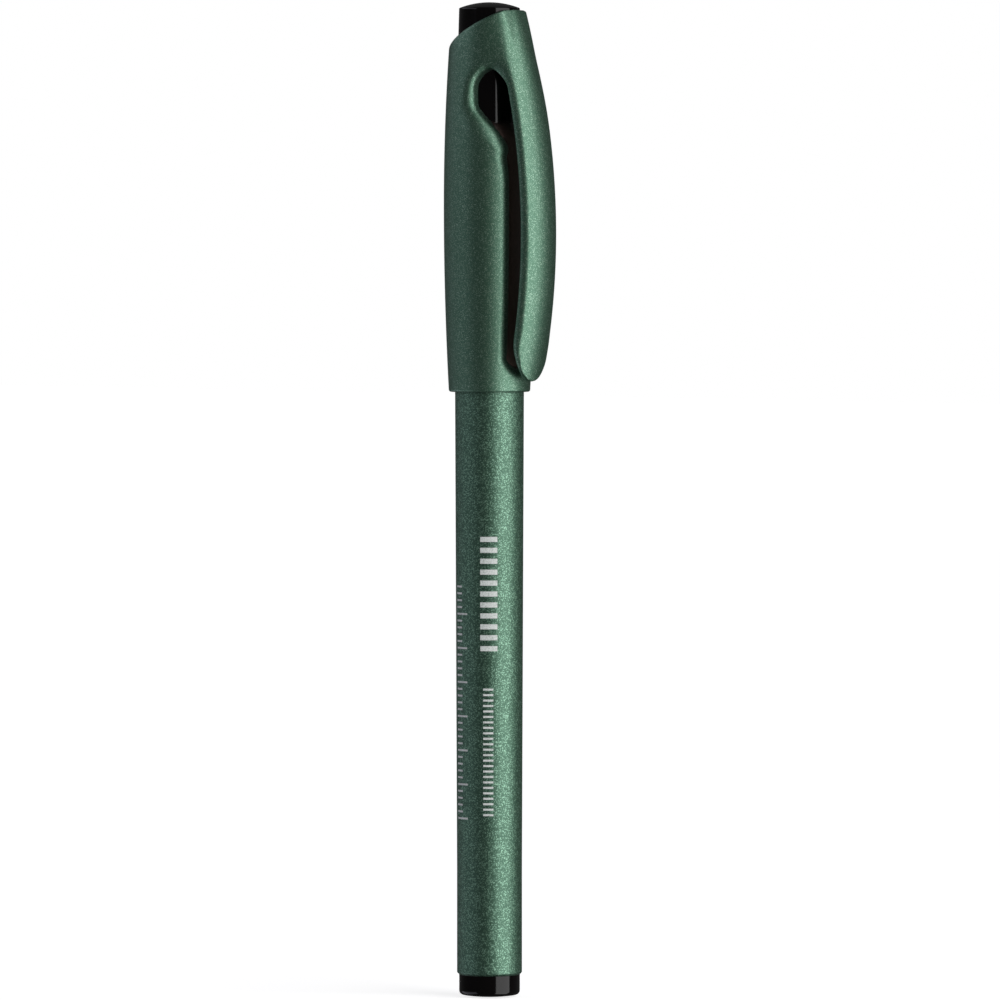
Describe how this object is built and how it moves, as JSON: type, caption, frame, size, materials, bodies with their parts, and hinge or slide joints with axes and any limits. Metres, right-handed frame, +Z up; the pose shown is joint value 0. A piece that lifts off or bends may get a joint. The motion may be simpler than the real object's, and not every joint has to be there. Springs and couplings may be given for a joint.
{
  "type": "fineliner pen",
  "caption": "Capped fineliner pen with a slim round barrel, a bellied cap with a sloped top, and a bowed pocket clip over a teardrop opening.",
  "frame": {"origin": "centre of the end plug's flat rear face, on the pen's axis", "axes": "+Z up the pen's axis from the rear end to the cap's head, +X from the axis towards the pocket clip, +Y to complete a right-handed frame"},
  "size_m": [0.0176, 0.0134, 0.146],
  "materials": {
    "metallic_green_plastic": "dark green metallic lacquer with fine flake",
    "black_plastic": "glossy black moulding",
    "ink_fibre": "bonded fibre rod soaked with ink",
    "clear_film": "thin clear film",
    "steel": "drawn steel tube",
    "nib_plastic": "inked plastic nib"
  },
  "bodies": {
    "barrel": {"barrel_tube": "metallic_green_plastic", "end_plug": "black_plastic", "ink_reservoir": "ink_fibre", "reservoir_film": "clear_film", "grip_section": "black_plastic", "nib_sleeve": "steel", "fineliner_nib": "nib_plastic"},
    "cap": {"cap_shell": "metallic_green_plastic", "inner_cap": "black_plastic"},
    "clip": {"pocket_clip": "metallic_green_plastic"}
  },
  "joints": [
    {"name": "cap_pull", "type": "slide", "parent": "barrel", "child": "cap", "axis": [0, 0, 1], "range_m": [0, 0.055]},
    {"name": "clip_flex", "type": "hinge", "parent": "cap", "child": "clip", "pos_m": [0.0078, 0, 0.1353], "axis": [0, -1, 0], "range_deg": [0, 4], "stiffness_Nm_per_rad": 1}
  ]
}
